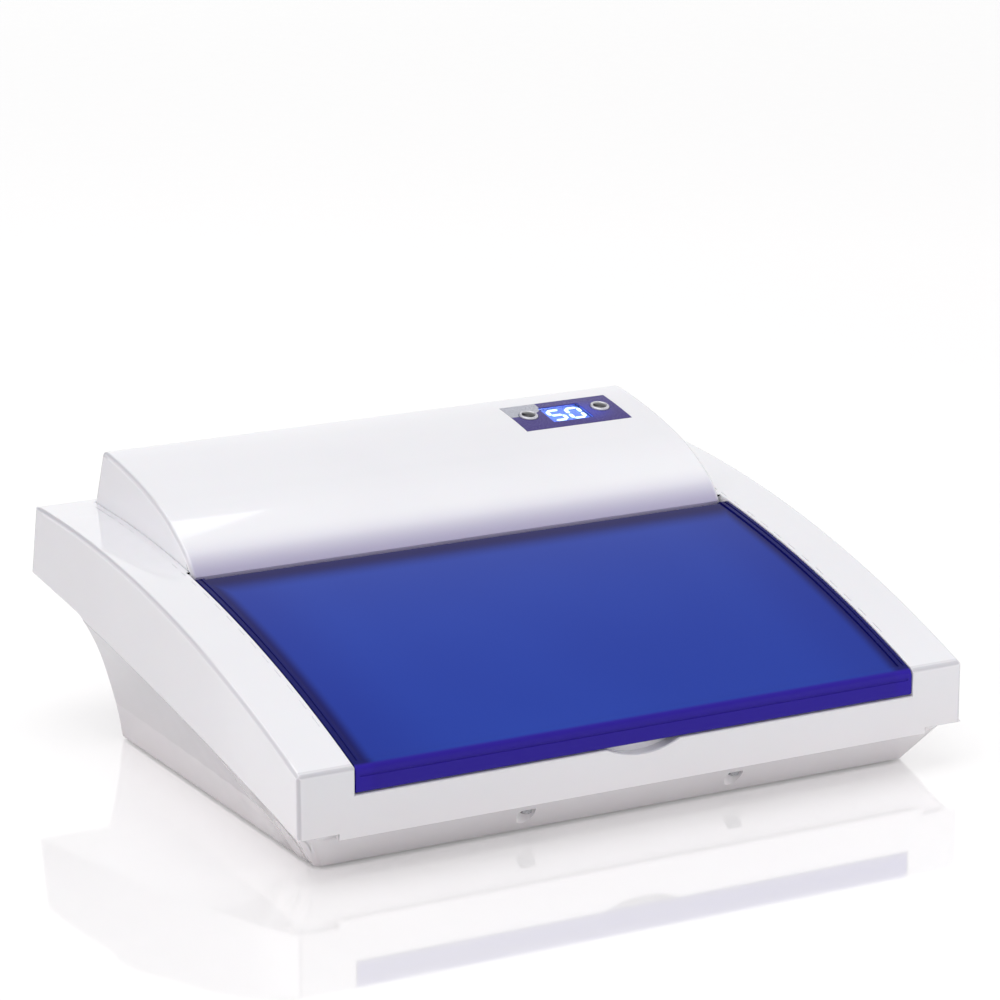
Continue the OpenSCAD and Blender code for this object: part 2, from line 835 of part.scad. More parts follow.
module ballast() {
    color("gainsboro") from_front()
        translate([0, ballast_y, shelf_top(ballast_y) + 0.05])
            rotate([atan(shelf_slope), 0, 0]) {
                translate([ballast_left, 0, lug_h])
                    cube([ballast_right - ballast_left, ballast_d, ballast_h]);
                for (x = [ballast_left - lug_w, ballast_right - lug_inset])
                    difference() {
                        translate([x, lug_inset, 0])
                            cube([lug_w + lug_inset, ballast_d - 2 * lug_inset, lug_h + 0.5]);
                        translate([x < 0 ? x + lug_w / 2 : x + lug_w, ballast_d / 2, -1])
                            cylinder(h = lug_h + 3, r = 1.6);
                    }
            }
}

module control_board() {
    color("darkgreen") from_front()
        difference() {
            on_panel()
                translate([-36, -16, -board_drop - board_t]) cube([72, 32, board_t]);
            board_screw_places() translate([0, 0, -1]) cylinder(h = 5, r = 1.3);
        }
}

// The board's corners: zero height is its underside
module board_screw_places() {
    for (x = [-32.5, 32.5], y = [-12.5, 12.5])
        on_panel(x, y) translate([0, 0, -board_drop - board_t]) children();
}

module board_parts() {
    color("dimgray") from_front()
        on_panel() {
            translate([-30, -13, -board_drop - board_t - 8]) cube([15, 12, 8]);
            translate([10, -10, -board_drop - board_t - 8]) cylinder(h = 8, r = 4);
            translate([20, -12, -board_drop - board_t - 6]) cube([8, 20, 6]);
        }
}

module display_module() {
    color("midnightblue") from_front()
        on_panel()
            translate([-window_w / 2, -window_d / 2, -board_drop])
                cube([window_w, window_d, board_drop - hood_wall - 0.6]);
}

module display_window() {
    color("slateblue") from_front()
        on_panel()
            translate([-window_w / 2 - 0.9, -window_d / 2 - 0.9, -hood_wall - 0.5])
                cube([window_w + 1.8, window_d + 1.8, hood_wall - 0.6]);
}

module panel_overlay() {
    color("indigo") from_front()
        difference() {
            panel_band(panel_w, panel_d, 0.05, panel_t);
            on_panel()
                translate([-window_w / 2, -window_d / 2, -10])
                    cube([window_w, window_d, 20]);
            for (s = [-1, 1])
                on_panel(s * button_span / 2, 1.5)
                    translate([0, 0, -10]) cylinder(h = 20, r = button_d / 2 + 0.4);
        }
}

module button(s) {
    color("silver") from_front()
        on_panel(s * button_span / 2, 1.5) {
            translate([0, 0, -5]) cylinder(h = 5.7, r = button_d / 2);
            translate([0, 0, -5]) cylinder(h = 1.4, r = button_d / 2 + 1.2);
        }
}

module button_left() button(-1);

module button_right() button(1);

module button_switches() {
    color("black") from_front()
        for (s = [-1, 1])
            on_panel(s * button_span / 2, 1.5) {
                translate([-3, -3, -board_drop]) cube([6, 6, 3]);
                translate([0, 0, -board_drop]) cylinder(h = board_drop - 5 - button_travel - 0.3, r = 1.7);
            }
}

module reed_switch() {
    color("teal") from_front()
        translate([magnet_x - 9, well_end + wall + 0.3, shell_z(well_end) - hood_seat - wall - 7])
            cube([18, 4, 4]);
}

module lid_magnet() {
    color("gray") from_front() magnet_socket(3.5, -3, -1);
}

module mains_inlet() {
    color("black") from_front()
        on_rear_face(inlet_x)
            difference() {
                union() {
                    translate([-inlet_w / 2 + 0.2, -inlet_l, -inlet_h / 2 + 0.2])
                        cube([inlet_w - 0.4, inlet_l, inlet_h - 0.4]);
                }
                translate([-9, -11, -4.5]) cube([18, 12, 9]);
            }
}

module lead(a, b, r) {
    v = b - a;
    l = norm(v);
    translate(a)
        rotate([0, acos(v[2] / l), atan2(v[1], v[0])])
            cylinder(h = l, r = r, $fn = 16);
}

lead_r = 1.2;

// A lead that bends at the points between its ends
module bent_lead(points) {
    for (i = [0 : len(points) - 2]) lead(points[i], points[i + 1], lead_r);
    for (i = [1 : len(points) - 2])
        translate(points[i]) sphere(r = lead_r + 0.3, $fn = 16);
}

module mains_leads() {
    low = shelf_top(ballast_y) + 15;
    inlet_mid = (shell_z(rear_top) + tail_h) / 2;
    end = inlet_l + 0.3;
    end_y = case_d - rear_lean / 2 - end * cos(rear_face_angle);
    end_z = inlet_mid - end * sin(rear_face_angle);
    color("saddlebrown") from_front()
        for (s = [-1, 1])
            bent_lead([[ballast_right, ballast_y + 15 - 3 * s, low],
                [inlet_x + 4 * s, ballast_y + 15 - 3 * s, low],
                [inlet_x + 4 * s, end_y, end_z]]);
}

lamp_lead_x = lamp_l / 2 + socket_t - 2;
lamp_lead_path = [[lamp_lead_x, lamp_y + lamp_d / 2 + 1.2, lamp_z - 3],
    [lamp_lead_x, ballast_y + 6, shelf_top(ballast_y) + 21]];

module lamp_leads() {
    color("white") from_front() {
        bent_lead(concat(lamp_lead_path,
            [[ballast_right, lamp_lead_path[1][1], lamp_lead_path[1][2]]]));
        mirror([1, 0, 0])
            bent_lead(concat(lamp_lead_path,
                [[-ballast_left, lamp_lead_path[1][1], lamp_lead_path[1][2]]]));
    }
}

module board_leads() {
    x = panel_x - 20;
    low = shelf_top(ballast_y) + 9;
    color("red") from_front()
        bent_lead([[x, ballast_y + 3, panel_z - board_drop - board_t + 1],
            [x, ballast_y + 3, low],
            [ballast_right, ballast_y + 3, low]]);
}

module rubber_feet() {
    color("dimgray") from_front()
        both_sides()
            for (y = [base_front + 26, waist_y - 20])
                translate([base_w / 2 - 26, y, 0])
                    cylinder(h = foot_h, r = foot_d / 2);
}

module lid_bumpers() {
    color("dimgray") from_front()
        bumper_places() translate([0, 0, -0.6]) cylinder(h = 0.9, r = bumper_r);
}

module screw(head_r, head_h, r, l) {
    cylinder(h = head_h, r = head_r);
    translate([0, 0, head_h]) cylinder(h = l, r = r);
}

module case_screws() {
    color("silver") from_front()
        both_sides() {
            translate([pocket_x, screw_post_y, pocket_h - 2.2]) screw(3, 2.2, 1.5, 18);
            translate([case_half - 45, case_d - 30, tail_h - 6]) screw(3, 2.2, 1.5, 18);
        }
}

module hood_screws() {
    color("silver") from_front()
        hood_screw_places() translate([0, 0, -2.2]) screw(3, 2.2, 1.5, 10);
}

module tub_screws() {
    color("silver") from_front()
        tub_screw_places()
            translate([0, 0, -tub_flange_t - 1.85]) screw(2.2, 1.8, 1.2, tub_flange_t + 1.7);
}

module board_screws() {
    color("silver") from_front()
        board_screw_places() translate([0, 0, -1.8]) screw(2.2, 1.8, 1.2, 6);
}

upper_case();
lower_case();
hood_cover();
lid();
hinge_pins();
chamber_tub();
tool_tray();
lamp_reflector();
lamp_tube();
lamp_caps();
lamp_socket_left();
lamp_socket_right();
ballast();
control_board();
board_parts();
display_module();
display_window();
panel_overlay();
button_left();
button_right();
button_switches();
reed_switch();
lid_magnet();
mains_inlet();
mains_leads();
lamp_leads();
board_leads();
rubber_feet();
lid_bumpers();
case_screws();
hood_screws();
tub_screws();
board_screws();
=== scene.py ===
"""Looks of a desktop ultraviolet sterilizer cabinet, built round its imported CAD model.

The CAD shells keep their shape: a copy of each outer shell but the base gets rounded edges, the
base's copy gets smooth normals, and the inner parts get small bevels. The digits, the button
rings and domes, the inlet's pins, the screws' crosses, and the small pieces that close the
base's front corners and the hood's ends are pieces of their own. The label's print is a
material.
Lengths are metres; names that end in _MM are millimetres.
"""
import json
import math

import bmesh
import bpy
import numpy
from mathutils import Matrix, Vector


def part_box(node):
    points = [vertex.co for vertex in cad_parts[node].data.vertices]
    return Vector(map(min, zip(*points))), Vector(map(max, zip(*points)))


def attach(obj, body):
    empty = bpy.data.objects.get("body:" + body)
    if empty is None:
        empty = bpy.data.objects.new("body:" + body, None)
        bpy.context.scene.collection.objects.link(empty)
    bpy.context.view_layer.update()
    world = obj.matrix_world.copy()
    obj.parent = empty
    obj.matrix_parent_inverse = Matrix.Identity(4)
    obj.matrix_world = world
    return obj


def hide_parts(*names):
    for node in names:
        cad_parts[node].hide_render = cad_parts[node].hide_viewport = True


MM = 0.001

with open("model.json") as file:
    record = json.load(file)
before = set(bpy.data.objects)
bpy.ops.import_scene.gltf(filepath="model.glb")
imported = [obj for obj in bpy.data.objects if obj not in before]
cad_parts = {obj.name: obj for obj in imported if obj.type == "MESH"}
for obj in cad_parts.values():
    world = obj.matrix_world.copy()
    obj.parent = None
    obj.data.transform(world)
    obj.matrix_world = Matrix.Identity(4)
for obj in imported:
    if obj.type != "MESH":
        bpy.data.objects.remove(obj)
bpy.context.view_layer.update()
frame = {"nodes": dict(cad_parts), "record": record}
scene = bpy.context.scene
record = frame["record"]

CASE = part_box("upper_case")
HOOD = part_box("hood_cover")
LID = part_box("lid")
FRONT = CASE[0][1]
REAR = CASE[1][1]
HALF = CASE[1][0]
LID_HALF = LID[1][0]
HOOD_HALF = HOOD[1][0]


# Materials

def linear(r, g, b):
    """A colour written as 0 to 255 on screen, as the shader's linear colour."""
    def channel(v):
        v /= 255
        return v / 12.92 if v <= 0.04045 else ((v + 0.055) / 1.055) ** 2.4
    return (channel(r), channel(g), channel(b), 1.0)


class Graph:
    """A material's node tree, with short calls for the nodes used here."""

    def __init__(self, name):
        self.material = bpy.data.materials.new(name)
        self.material.use_nodes = True
        self.nodes = self.material.node_tree.nodes
        self.links = self.material.node_tree.links
        self.shader = self.nodes["Principled BSDF"]
        coordinates = self.node("ShaderNodeTexCoord").outputs
        self.place = coordinates["Object"]
        self.normal = coordinates["Normal"]

    def node(self, kind, **settings):
        n = self.nodes.new(kind)
        for key, value in settings.items():
            setattr(n, key, value)
        return n

    def link(self, source, target):
        self.links.new(source, target)

    def put(self, socket, value):
        """Links value if it is a socket, and sets it if it is a number or a colour."""
        if isinstance(value, bpy.types.NodeSocket):
            self.link(value, socket)
        else:
            socket.default_value = value

    def set(self, **values):
        """Sets the shader's inputs: an underscore in a name stands for a space."""
        for key, value in values.items():
            self.put(self.shader.inputs[key.replace("_", " ")], value)

    def math(self, operation, a, b=0.0, clamp=False):
        n = self.node("ShaderNodeMath", operation=operation, use_clamp=clamp)
        self.put(n.inputs[0], a)
        self.put(n.inputs[1], b)
        return n.outputs[0]

    def noise(self, scale, detail=3.0, stretch=(1, 1, 1), rough=0.5):
        spread = self.node("ShaderNodeMapping")
        spread.inputs["Scale"].default_value = stretch
        self.link(self.place, spread.inputs["Vector"])
        n = self.node("ShaderNodeTexNoise")
        self.link(spread.outputs["Vector"], n.inputs["Vector"])
        n.inputs["Scale"].default_value = scale
        n.inputs["Detail"].default_value = detail
        n.inputs["Roughness"].default_value = rough
        return n.outputs["Fac"]

    def ramp(self, value, low, high, out_low=0.0, out_high=1.0, smooth=True):
        """Maps value from low..high to out_low..out_high."""
        n = self.node("ShaderNodeMapRange")
        n.interpolation_type = "SMOOTHSTEP" if smooth else "LINEAR"
        self.put(n.inputs["Value"], value)
        for key, number in (("From Min", low), ("From Max", high),
                            ("To Min", out_low), ("To Max", out_high)):
            n.inputs[key].default_value = number
        return n.outputs["Result"]

    def mix(self, factor, a, b):
        n = self.node("ShaderNodeMix", data_type="RGBA")
        self.put(n.inputs["Factor"], factor)
        self.put(n.inputs["A"], a)
        self.put(n.inputs["B"], b)
        return n.outputs["Result"]

    def axes(self, vector):
        n = self.node("ShaderNodeSeparateXYZ")
        self.link(vector, n.inputs[0])
        return n.outputs

    def bump(self, height, strength, distance):
        n = self.node("ShaderNodeBump")
        n.inputs["Strength"].default_value = strength
        n.inputs["Distance"].default_value = distance
        self.link(height, n.inputs["Height"])
        self.link(n.outputs["Normal"], self.shader.inputs["Normal"])


def surface(name, colour, other, rough, metallic=0.0, scale=60.0, stretch=(1, 1, 1),
            grain=900.0, depth=0.00002, spread=0.06, **more):
    """A finish whose colour and roughness wander a little, with a fine grain."""
    g = Graph(name)
    cloud = g.noise(scale, 4.0, stretch)
    fine = g.noise(grain, 2.0, stretch)
    g.set(Base_Color=g.mix(g.ramp(cloud, 0.3, 0.7), colour, other),
          Roughness=g.ramp(fine, 0.25, 0.75, max(rough - spread, 0.02), rough + spread),
          Metallic=metallic, **more)
    g.bump(fine, 0.25, depth)
    return g.material


def case_white():
    """Glossy white moulding: faint flow clouds, painted warm shade low down, painted grey shade
    on its rounded edges, and painted lilac shade with blue bounce light where the hood comes
    down on the blue lid."""
    g = Graph("case_white")
    cloud = g.noise(7.0, 3.0)
    ripple = g.noise(38.0, 2.0)
    fine = g.noise(1400.0, 2.0)
    x, y, z = g.axes(g.place)
    clean = g.mix(g.ramp(cloud, 0.35, 0.65), linear(243, 243, 247), linear(240, 240, 244))
    # Painted warm shade: the white turns warmer toward the floor, over the lowest 60 mm
    low = g.ramp(z, 0.0, 0.06, 1.0, 0.0)
    warm_shade = g.mix(g.math("MULTIPLY", low, 0.5), clean, linear(243, 235, 237))
    # Painted grey shade on the rounded edges of the upper parts, found from their turned normals
    nx, ny, nz = (g.math("ABSOLUTE", n) for n in g.axes(g.normal))
    upper = g.ramp(z, 0.022, 0.024)
    sides = g.math("MULTIPLY", nx, g.math("MAXIMUM", nz, ny))
    front = g.math("MULTIPLY", g.math("MULTIPLY", ny, nz),
                   g.ramp(y, FRONT + 0.0030, FRONT + 0.0045, 1.0, 0.0))
    edge_shade = g.ramp(g.math("MAXIMUM", sides, front), 0.20, 0.46)
    edge_shaded = g.mix(g.math("MULTIPLY", g.math("MULTIPLY", edge_shade, upper), 0.55), warm_shade,
                  linear(176, 174, 182))
    # Painted lilac shade with blue bounce light from the lid, on the hood's low front just above
    # it
    lip_shade = g.math("MULTIPLY", g.ramp(z, HOOD[0][2] + 0.002, HOOD[0][2] + 0.020, 1.0, 0.0),
                 g.ramp(g.math("ABSOLUTE", x), HOOD[1][0] - 0.003, HOOD[1][0], 1.0, 0.0))
    lip_shade = g.math("MULTIPLY", lip_shade, g.ramp(y, HOOD[0][1] - 0.001, HOOD[0][1] - 0.0005))
    lip_shade = g.math("MULTIPLY", lip_shade, g.ramp(y, 0.060, 0.062, 1.0, 0.0))
    g.set(Base_Color=g.mix(g.math("MULTIPLY", lip_shade, 0.95), edge_shaded, linear(184, 178, 210)),
          Roughness=g.ramp(fine, 0.3, 0.7, 0.08, 0.13),
          Coat_Weight=1.0, Coat_Roughness=0.03, IOR=1.5,
          Subsurface_Weight=0.04, Subsurface_Scale=0.002)
    g.bump(ripple, 0.06, 0.0002)
    return g.material


def lid_blue():
    """Clear blue acrylic: painted navy shade toward the edges and under the hood, violet on the
    flange.
    """
    g = Graph("lid_blue")
    x, y, z = g.axes(g.place)
    half = LID[1][0]
    across = g.math("ABSOLUTE", x)
    # Painted navy shade along the sides and under the hood, where the chamber behind the lid
    # lies in shade
    side = g.ramp(across, half - 0.013, half - 0.006)
    rear_shade = g.ramp(y, LID[1][1] - 0.026, LID[1][1] - 0.009)
    edge = g.math("MAXIMUM", g.math("MULTIPLY", side, 0.9), rear_shade)
    # Painted shade: the blue darkens toward the sides
    side_shade = g.ramp(across, half - 0.060, half - 0.010, 0.0, 0.35)
    cloud = g.noise(5.0, 2.0)
    body = g.mix(g.ramp(cloud, 0.3, 0.7), linear(36, 70, 182), linear(32, 64, 175))
    shaded = g.mix(side_shade, body, linear(22, 40, 150))
    navy_shaded = g.mix(edge, shaded, linear(12, 6, 92))
    flange = g.ramp(y, LID[0][1] + 0.0012, LID[0][1] + 0.0030, 1.0, 0.0)
    fine = g.noise(700.0, 2.0)
    g.set(Base_Color=g.mix(flange, navy_shaded, linear(54, 38, 168)),
          Roughness=g.ramp(fine, 0.3, 0.7, 0.05, 0.09),
          Transmission_Weight=g.ramp(edge, 0.0, 1.0, 0.20, 0.12),
          IOR=1.45, Specular_IOR_Level=0.08, Coat_Weight=0.02, Coat_Roughness=0.03)
    g.bump(g.noise(24.0, 2.0), 0.04, 0.0002)
    return g.material


def label_print(centre, angle, width, depth):
    """The panel's printed film: violet ground, a silver field, a glow beside the display."""
    g = Graph("label_print")
    local = g.node("ShaderNodeMapping", vector_type="TEXTURE")
    local.inputs["Location"].default_value = centre
    local.inputs["Rotation"].default_value = (angle, 0, 0)
    local.inputs["Scale"].default_value = (width, depth, 1.0)
    g.link(g.place, local.inputs["Vector"])
    u, v, w = g.axes(local.outputs["Vector"])
    # Silver field in the rear left corner, bounded by a rounded curve
    from_left = g.math("DIVIDE", g.math("ADD", u, 0.5), 0.33)
    from_rear = g.math("DIVIDE", g.math("SUBTRACT", 0.5, v), 0.44)
    curve = g.math("ADD", g.math("POWER", from_left, 3.2), g.math("POWER", from_rear, 3.2))
    silver = g.ramp(curve, 0.97, 1.03, 1.0, 0.0)
    # Glow to the right of the display
    du = g.math("MULTIPLY", g.math("SUBTRACT", u, 0.20), 2.0)
    dv = g.math("MULTIPLY", g.math("ADD", v, 0.02), 1.1)
    away = g.math("SQRT", g.math("ADD", g.math("MULTIPLY", du, du), g.math("MULTIPLY", dv, dv)))
    glow = g.ramp(away, 0.05, 0.55, 1.0, 0.0)
    speck = g.noise(2600.0, 2.0)
    ground = g.mix(g.ramp(speck, 0.3, 0.7), linear(50, 34, 118), linear(58, 42, 128))
    lit = g.mix(g.math("MULTIPLY", glow, 0.75), ground, linear(52, 58, 190))
    metal = g.mix(g.ramp(speck, 0.3, 0.7), linear(176, 178, 190), linear(192, 194, 204))
    g.set(Base_Color=g.mix(silver, lit, metal),
          Metallic=g.math("MULTIPLY", silver, 0.35),
          Roughness=g.ramp(speck, 0.3, 0.7, 0.22, 0.30),
          Specular_IOR_Level=0.25, Coat_Weight=0.12, Coat_Roughness=0.08)
    g.bump(speck, 0.08, 0.00002)
    return g.material


def glowing(name, colour, light, strength):
    g = Graph(name)
    speck = g.noise(1800.0, 2.0)
    g.set(Base_Color=colour, Roughness=g.ramp(speck, 0.3, 0.7, 0.12, 0.2),
          Emission_Color=g.mix(g.ramp(speck, 0.3, 0.7), light, tuple(c * 0.9 for c in light)),
          Emission_Strength=strength)
    return g.material


MATERIALS = {
    "case_white": case_white(),
    "lid_blue": lid_blue(),
    "steel": surface("steel", linear(190, 191, 194), linear(176, 177, 181), 0.28, 1.0,
                     40.0, (1, 14, 14), 700.0, 0.00002, 0.06, Anisotropic=0.4),
    "tub_white": surface("tub_white", linear(228, 228, 231), linear(222, 222, 226), 0.34,
                         scale=9.0, grain=1500.0),
    "reflector": surface("reflector", linear(214, 216, 220), linear(204, 206, 210), 0.12, 1.0,
                         30.0, (1, 10, 10), 500.0, spread=0.03),
    "quartz": surface("quartz", linear(232, 238, 248), linear(226, 234, 246), 0.05,
                      spread=0.02, Transmission_Weight=0.85, IOR=1.46),
    "cap_metal": surface("cap_metal", linear(200, 201, 205), linear(186, 187, 192), 0.3, 1.0),
    "socket_white": surface("socket_white", linear(226, 226, 222), linear(219, 219, 214), 0.4),
    "ballast_grey": surface("ballast_grey", linear(196, 198, 200), linear(186, 188, 191), 0.42,
                            0.4),
    "board_green": surface("board_green", linear(22, 92, 52), linear(16, 78, 44), 0.35,
                           scale=220.0),
    "part_black": surface("part_black", linear(34, 34, 37), linear(26, 26, 29), 0.45),
    "display_blue": glowing("display_blue", linear(40, 50, 140), linear(124, 166, 250), 1.5),
    "window_blue": surface("window_blue", linear(176, 190, 250), linear(166, 180, 246), 0.06,
                           spread=0.02, Transmission_Weight=0.92, IOR=1.3),
    "button_silver": surface("button_silver", linear(226, 226, 232), linear(214, 214, 222),
                             0.22, 0.6, 300.0),
    "reed_glass": surface("reed_glass", linear(170, 200, 190), linear(160, 192, 182), 0.08,
                          spread=0.03, Transmission_Weight=0.7),
    "magnet": surface("magnet", linear(188, 188, 192), linear(176, 176, 181), 0.14, 1.0),
    "inlet_black": surface("inlet_black", linear(30, 30, 32), linear(24, 24, 26), 0.42,
                           depth=0.00004),
    "lead_brown": surface("lead_brown", linear(108, 66, 38), linear(98, 58, 33), 0.45),
    "lead_white": surface("lead_white", linear(222, 222, 218), linear(212, 212, 208), 0.45),
    "lead_red": surface("lead_red", linear(172, 34, 30), linear(158, 28, 26), 0.45),
    "rubber_grey": surface("rubber_grey", linear(66, 66, 68), linear(56, 56, 58), 0.7,
                           depth=0.00006),
    "screw_steel": surface("screw_steel", linear(178, 179, 182), linear(160, 161, 165), 0.26,
                           1.0),
}


# Pieces

def mesh_from(name, bm):
    mesh = bpy.data.meshes.new(name)
    bm.to_mesh(mesh)
    bm.free()
    return mesh


def add_object(name, mesh):
    obj = bpy.data.objects.new(name, mesh)
    scene.collection.objects.link(obj)
    return obj


def finish_piece(obj, body, slot, material=None):
    obj.data.materials.clear()
    obj.data.materials.append(material or MATERIALS[slot])
    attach(obj, body)


def bevel(obj, width, segments=3, by_weight=False, angle=35):
    m = obj.modifiers.new("rounded edges", "BEVEL")
    m.width = width
    m.segments = segments
    m.limit_method = "WEIGHT" if by_weight else "ANGLE"
    m.angle_limit = math.radians(angle)
    m.use_clamp_overlap = not by_weight


def keep_flats(obj):
    """Flat faces stay flat beside rounded ones."""
    m = obj.modifiers.new("flat faces stay flat", "WEIGHTED_NORMAL")
    m.keep_sharp = True
    m.weight = 100


SHARP = math.radians(30)


def shell_mesh(node, whole_faces, weight, short_edge, join):
    """A copy of a CAD shell for bevelling. weight(middle, along, out) says how round an edge is:
    out points away from the two faces that meet there."""
    mesh = frame["nodes"][node].data.copy()
    bm = bmesh.new()
    bm.from_mesh(mesh)
    bmesh.ops.remove_doubles(bm, verts=bm.verts, dist=join)
    if whole_faces:
        bmesh.ops.dissolve_limit(bm, angle_limit=math.radians(0.3), verts=bm.verts,
                                 edges=bm.edges)
    if short_edge:
        top = max(v.co.z for v in bm.verts)
        short = [e for e in bm.edges if e.calc_length() < short_edge
                 and all(v.co.z > top - 0.1 * MM for v in e.verts)]
        bmesh.ops.collapse(bm, edges=short)
    layer = bm.edges.layers.float.new("bevel_weight_edge")
    for face in bm.faces:
        face.smooth = True
    for edge in bm.edges:
        if len(edge.link_faces) != 2:
            continue
        turn = edge.calc_face_angle_signed()
        edge.smooth = abs(turn) < SHARP
        if turn > SHARP:
            a, b = edge.verts
            out = (edge.link_faces[0].normal + edge.link_faces[1].normal).normalized()
            edge[layer] = weight((a.co + b.co) / 2, (b.co - a.co).normalized(), out)
    bm.to_mesh(mesh)
    bm.free()
    return mesh


def rounded_shell(node, body, slot, width, weight, short_edge=0.0, join=2e-6):
    obj = add_object(node + "_shell", shell_mesh(node, True, weight, short_edge, join))
    bevel(obj, width, by_weight=True)
    keep_flats(obj)
    finish_piece(obj, body, slot)
    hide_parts(node)


def near(a, b, gap=0.6 * MM):
    return abs(a - b) < gap


def upper_weight(p, along, out):
    """Full on the outer corners, little round the well, least along the crease."""
    if out.z < -0.3:
        return 0.2 if near(abs(p.x), HALF) or near(p.y, FRONT) else 0.0
    if near(abs(p.x), HALF):
        return 1.0
    if near(p.y, FRONT):
        return 0.85 if abs(p.x) > LID_HALF + 1.5 * MM and abs(along.x) > 0.9 else 0.3
    if p.y > REAR - 12 * MM and abs(along.x) > 0.9:
        return 0.9
    return 0.22 if abs(p.x) > LID_HALF and p.z > 50 * MM else 0.0


def hood_weight(p, along, out):
    """Full along the ends of the roof, nothing on the rim in its seat."""
    rim = out.z < -0.3
    inside = out.y > 0.3 and p.y < (HOOD[0][1] + HOOD[1][1]) / 2
    if near(abs(p.x), HOOD_HALF) and not rim and not inside:
        return 1.0
    if near(p.z, HOOD[1][2], 2 * MM) and abs(along.x) > 0.9:
        return 0.9
    return 0.2 if near(p.y, HOOD[0][1]) and rim else 0.0


def lid_weight(p, along, out):
    return 1.0 if near(abs(p.x), LID_HALF) or near(p.y, FRONT) else 0.7


BASE_FOOT_HALF = 174.6 * MM


def smooth_base():
    """The base keeps its faces. Its slanted side panels are ruled surfaces between the crease
    and the floor line, and get that surface's own normals."""
    mesh = shell_mesh("lower_case", False, lambda *edge: 0.0, 0.0, 2e-6)
    points = [v.co for v in mesh.vertices]
    crease = [p for p in points if abs(p.x) > HALF - 0.02 * MM and p.y < 40 * MM]
    c2, c1, c0 = numpy.polyfit([p.y for p in crease], [p.z for p in crease], 2)
    spread = HALF - BASE_FOOT_HALF
    around = [[] for p in points]
    for face in mesh.polygons:
        for v in face.vertices:
            around[v].append(face)
    normals = []
    for face in mesh.polygons:
        side = math.copysign(1, face.center.x)
        for v in face.vertices:
            p = points[v]
            height = c2 * p.y * p.y + c1 * p.y + c0
            ruled = HALF - spread + spread * p.z / height
            if face.normal.x * side > 0.7 and abs(abs(p.x) - ruled) < 0.35 * MM:
                slope = spread * p.z * (2 * c2 * p.y + c1) / height ** 2
                normals.append(Vector((side, slope, -spread / height)).normalized())
                continue
            own = face.normal
            if face.area < 2e-7:
                own = max(around[v], key=lambda f: f.area).normal
            total = Vector()
            for f in around[v]:
                if f.normal.dot(own) > 0.9:
                    total += f.normal * f.area
            normals.append(total.normalized() if total.length > 0 else own)
    mesh.normals_split_custom_set(normals)
    obj = add_object("lower_case_shell", mesh)
    finish_piece(obj, "housing", "case_white")
    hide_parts("lower_case")


rounded_shell("upper_case", "housing", "case_white", 2.2 * MM, upper_weight, join=3e-5)
smooth_base()
rounded_shell("hood_cover", "housing", "case_white", 2.2 * MM, hood_weight, short_edge=2 * MM)
rounded_shell("lid", "lid", "lid_blue", 0.3 * MM, lid_weight)


def box_piece(name, corners, low, high, body, slot):
    """A flat piece: corners in plan, and its underside and top as functions of a corner."""
    bm = bmesh.new()
    under = [bm.verts.new((x, y, low(x, y))) for x, y in corners]
    over = [bm.verts.new((x, y, high(x, y))) for x, y in corners]
    bm.faces.new(over)
    bm.faces.new(under[::-1])
    for i in range(len(corners)):
        j = (i + 1) % len(corners)
        bm.faces.new((under[i], under[j], over[j], over[i]))
    bmesh.ops.recalc_face_normals(bm, faces=bm.faces)
    finish_piece(add_object(name, mesh_from(name, bm)), body, slot)


def corner_soffits():
    """Closes the underside of each shoulder's front corner, over the base's rounded corner."""
    lowest = 24.25 * MM
    rise = 2.77 / 13.7
    plan = [(-0.2, 0.2), (-21.8, 0.2), (-21.8, 6), (-9, 9), (-4, 15), (-1.5, 27), (-0.2, 27)]

    def under(x, y):
        return lowest + rise * (y - FRONT)

    for name, side in (("left", -1), ("right", 1)):
        corners = [(side * (HALF + x * MM), FRONT + y * MM) for x, y in plan]
        box_piece("soffit_" + name, corners, under, lambda x, y: under(x, y) + 1 * MM,
                  "housing", "case_white")


corner_soffits()


def corner_liners():
    """Curved liners just inside the base's rounded front corners."""
    # The corner is ruled between two circles: their centres and radii at the floor and above
    foot = (BASE_FOOT_HALF - 8 * MM, FRONT + 30.5 * MM, 8 * MM)
    brow = (BASE_FOOT_HALF + 5.3 * MM, FRONT + 17.5 * MM, 20 * MM)
    brow_height = 30 * MM
    inside = 0.12 * MM
    front_wall = FRONT + 5 * MM
    for name, side in (("left", -1), ("right", 1)):
        bm = bmesh.new()
        rows = []
        for i in range(14):
            z = (2 + 24.5 * i / 13) * MM
            t = z / brow_height
            cx, cy, r = (a + (b - a) * t for a, b in zip(foot, brow))
            row = []
            for k in range(17):
                a = math.radians(90 * k / 16)
                x = cx + (r - inside) * math.cos(a)
                y = cy - (r - inside) * math.sin(a)
                height = 24.2 * MM + 0.2 * (y - FRONT)
                ruled = BASE_FOOT_HALF + (HALF - BASE_FOOT_HALF) * z / height
                x = min(x, ruled - inside)
                y = max(y, front_wall + inside)
                row.append(bm.verts.new((side * x, y, z)))
            rows.append(row)
        for low, high in zip(rows, rows[1:]):
            for k in range(16):
                bm.faces.new((low[k], low[k + 1], high[k + 1], high[k])[::side])
        for face in bm.faces:
            face.smooth = True
        obj = add_object("liner_" + name, mesh_from("liner_" + name, bm))
        thick = obj.modifiers.new("thickness", "SOLIDIFY")
        thick.thickness = 0.5 * MM
        thick.offset = 1.0
        finish_piece(obj, "housing", "case_white")


corner_liners()


def hinge_end_plugs():
    """Small blocks that close the pits between the hood's ends and the shoulders."""
    for name, side in (("left", -1), ("right", 1)):
        corners = [(side * x * MM, HOOD[0][1] + y * MM)
                   for x, y in ((163.5, -0.4), (164.1, -0.4), (164.1, 1.4), (163.5, 1.4))]
        box_piece("hinge_plug_" + name, corners, lambda x, y: 105.4 * MM,
                  lambda x, y: 107.0 * MM, "housing", "case_white")


hinge_end_plugs()

